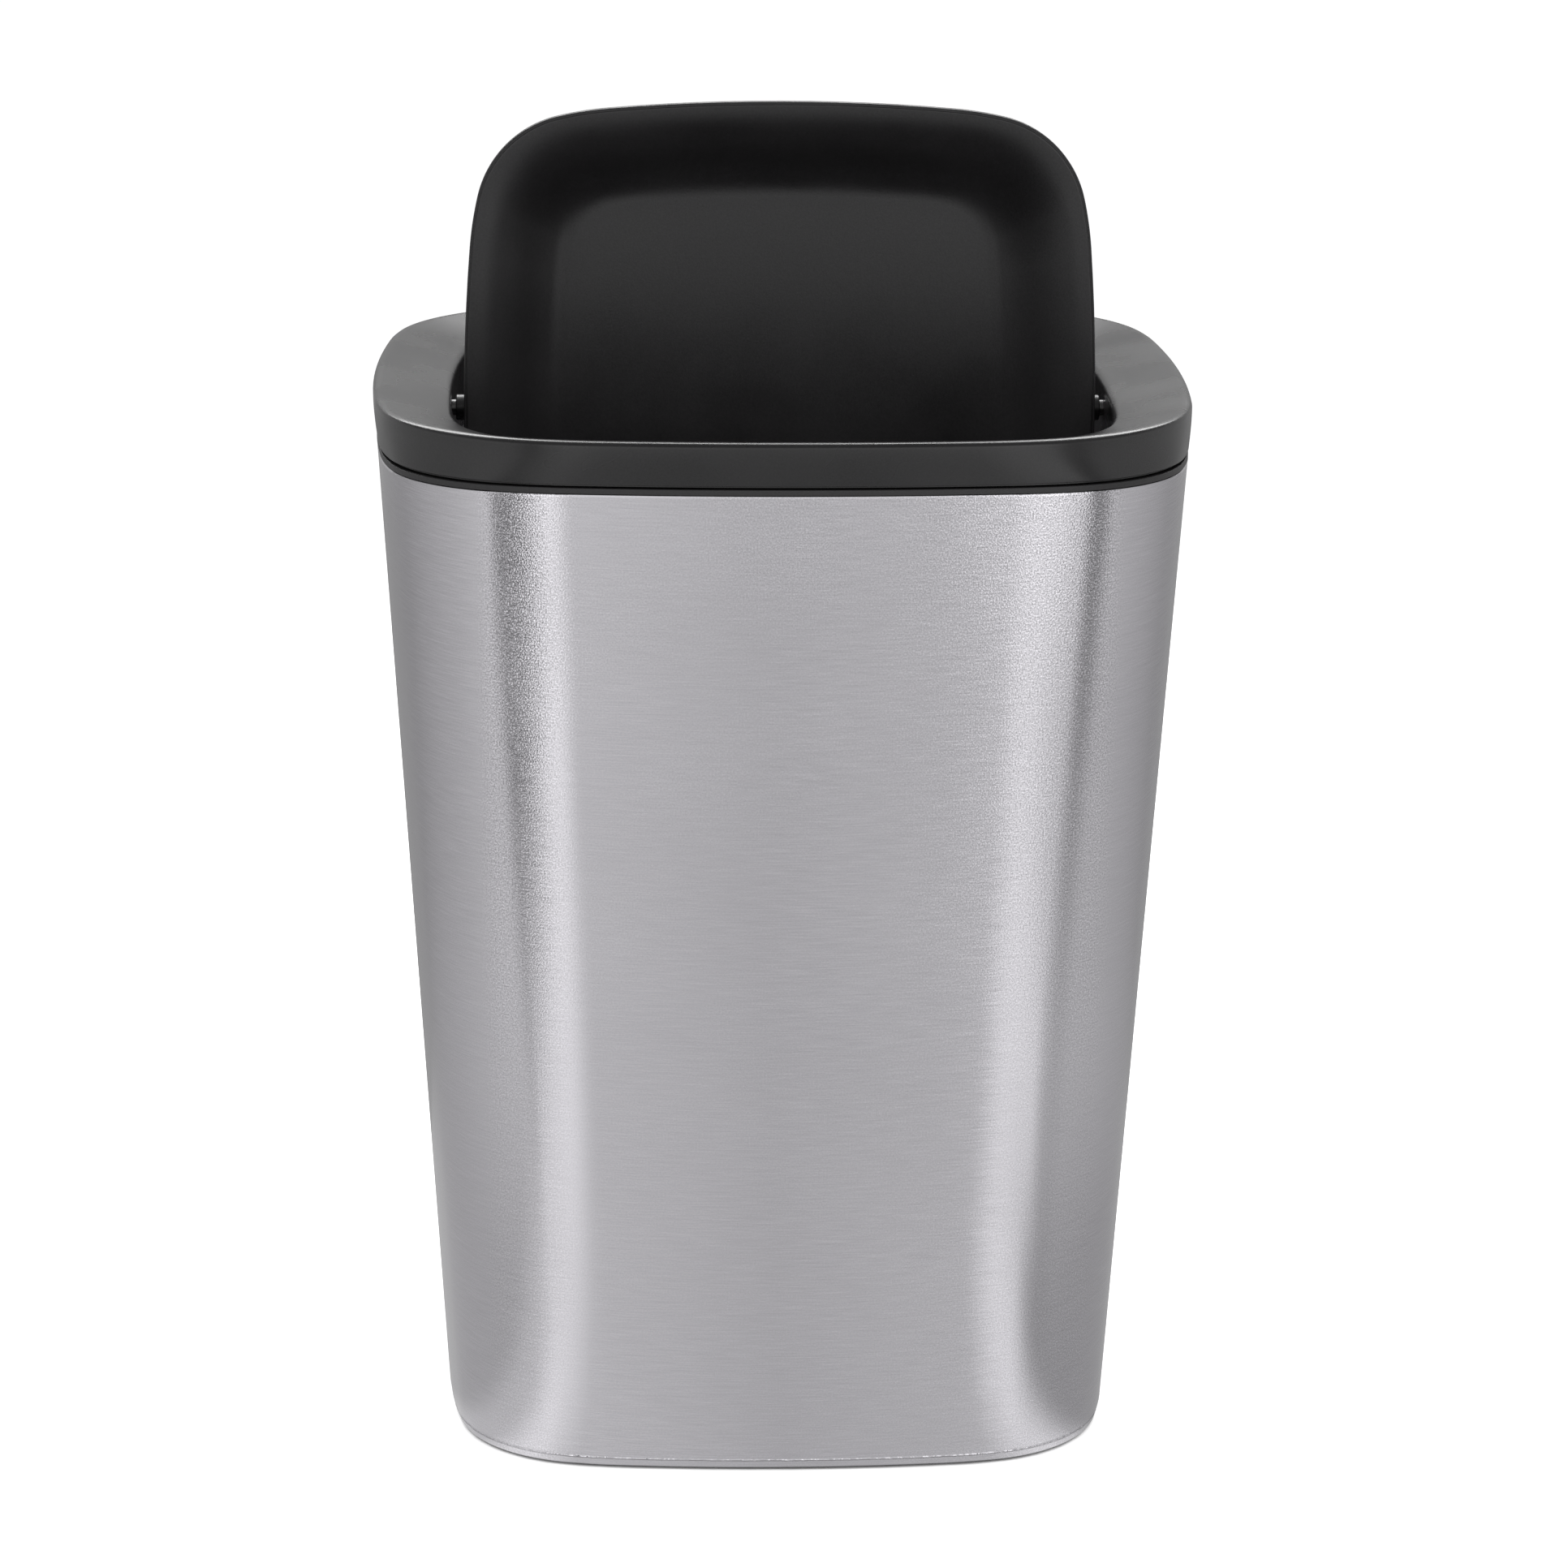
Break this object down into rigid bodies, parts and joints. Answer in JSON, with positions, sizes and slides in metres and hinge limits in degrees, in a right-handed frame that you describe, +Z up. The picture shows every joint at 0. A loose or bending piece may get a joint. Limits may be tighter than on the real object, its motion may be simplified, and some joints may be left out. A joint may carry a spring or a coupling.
{
  "type": "push top countertop bin",
  "caption": "Tapered soft-square countertop bin in brushed steel with a black funnel lid frame and a dished flap that swings on side pins.",
  "frame": {"origin": "centre of the bin's footprint, on the floor", "axes": "+Z up, -Y the front that the picture shows, +X to the right seen from the front; the flap turns about an axis along X"},
  "size_m": [0.165, 0.165, 0.2697],
  "materials": {
    "brushed_body": "fine brushing round the body under a clear lacquer with slight orange peel",
    "base_sheet": "plain mill finish",
    "black_trim": "smooth satin black",
    "black_lid": "satin black, fine grain",
    "black_flap": "matt black, fine grain",
    "pin_steel": "bright drawn steel"
  },
  "bodies": {
    "bin": {"body_wrap": "brushed_body", "base_pan": "base_sheet", "foot_ring": "black_trim", "rim_collar": "black_trim"},
    "lid": {"lid_frame": "black_lid"},
    "flap": {"flap": "black_flap", "pivot_pin_left": "pin_steel", "pivot_pin_right": "pin_steel"}
  },
  "joints": [
    {"name": "lid_lift", "type": "slide", "parent": "bin", "child": "lid", "axis": [0, 0, 1], "range_m": [0, 0.12]},
    {"name": "flap_swing", "type": "hinge", "parent": "lid", "child": "flap", "pos_m": [0, 0, 0.20565], "axis": [1, 0, 0], "range_deg": [0, 180]}
  ]
}
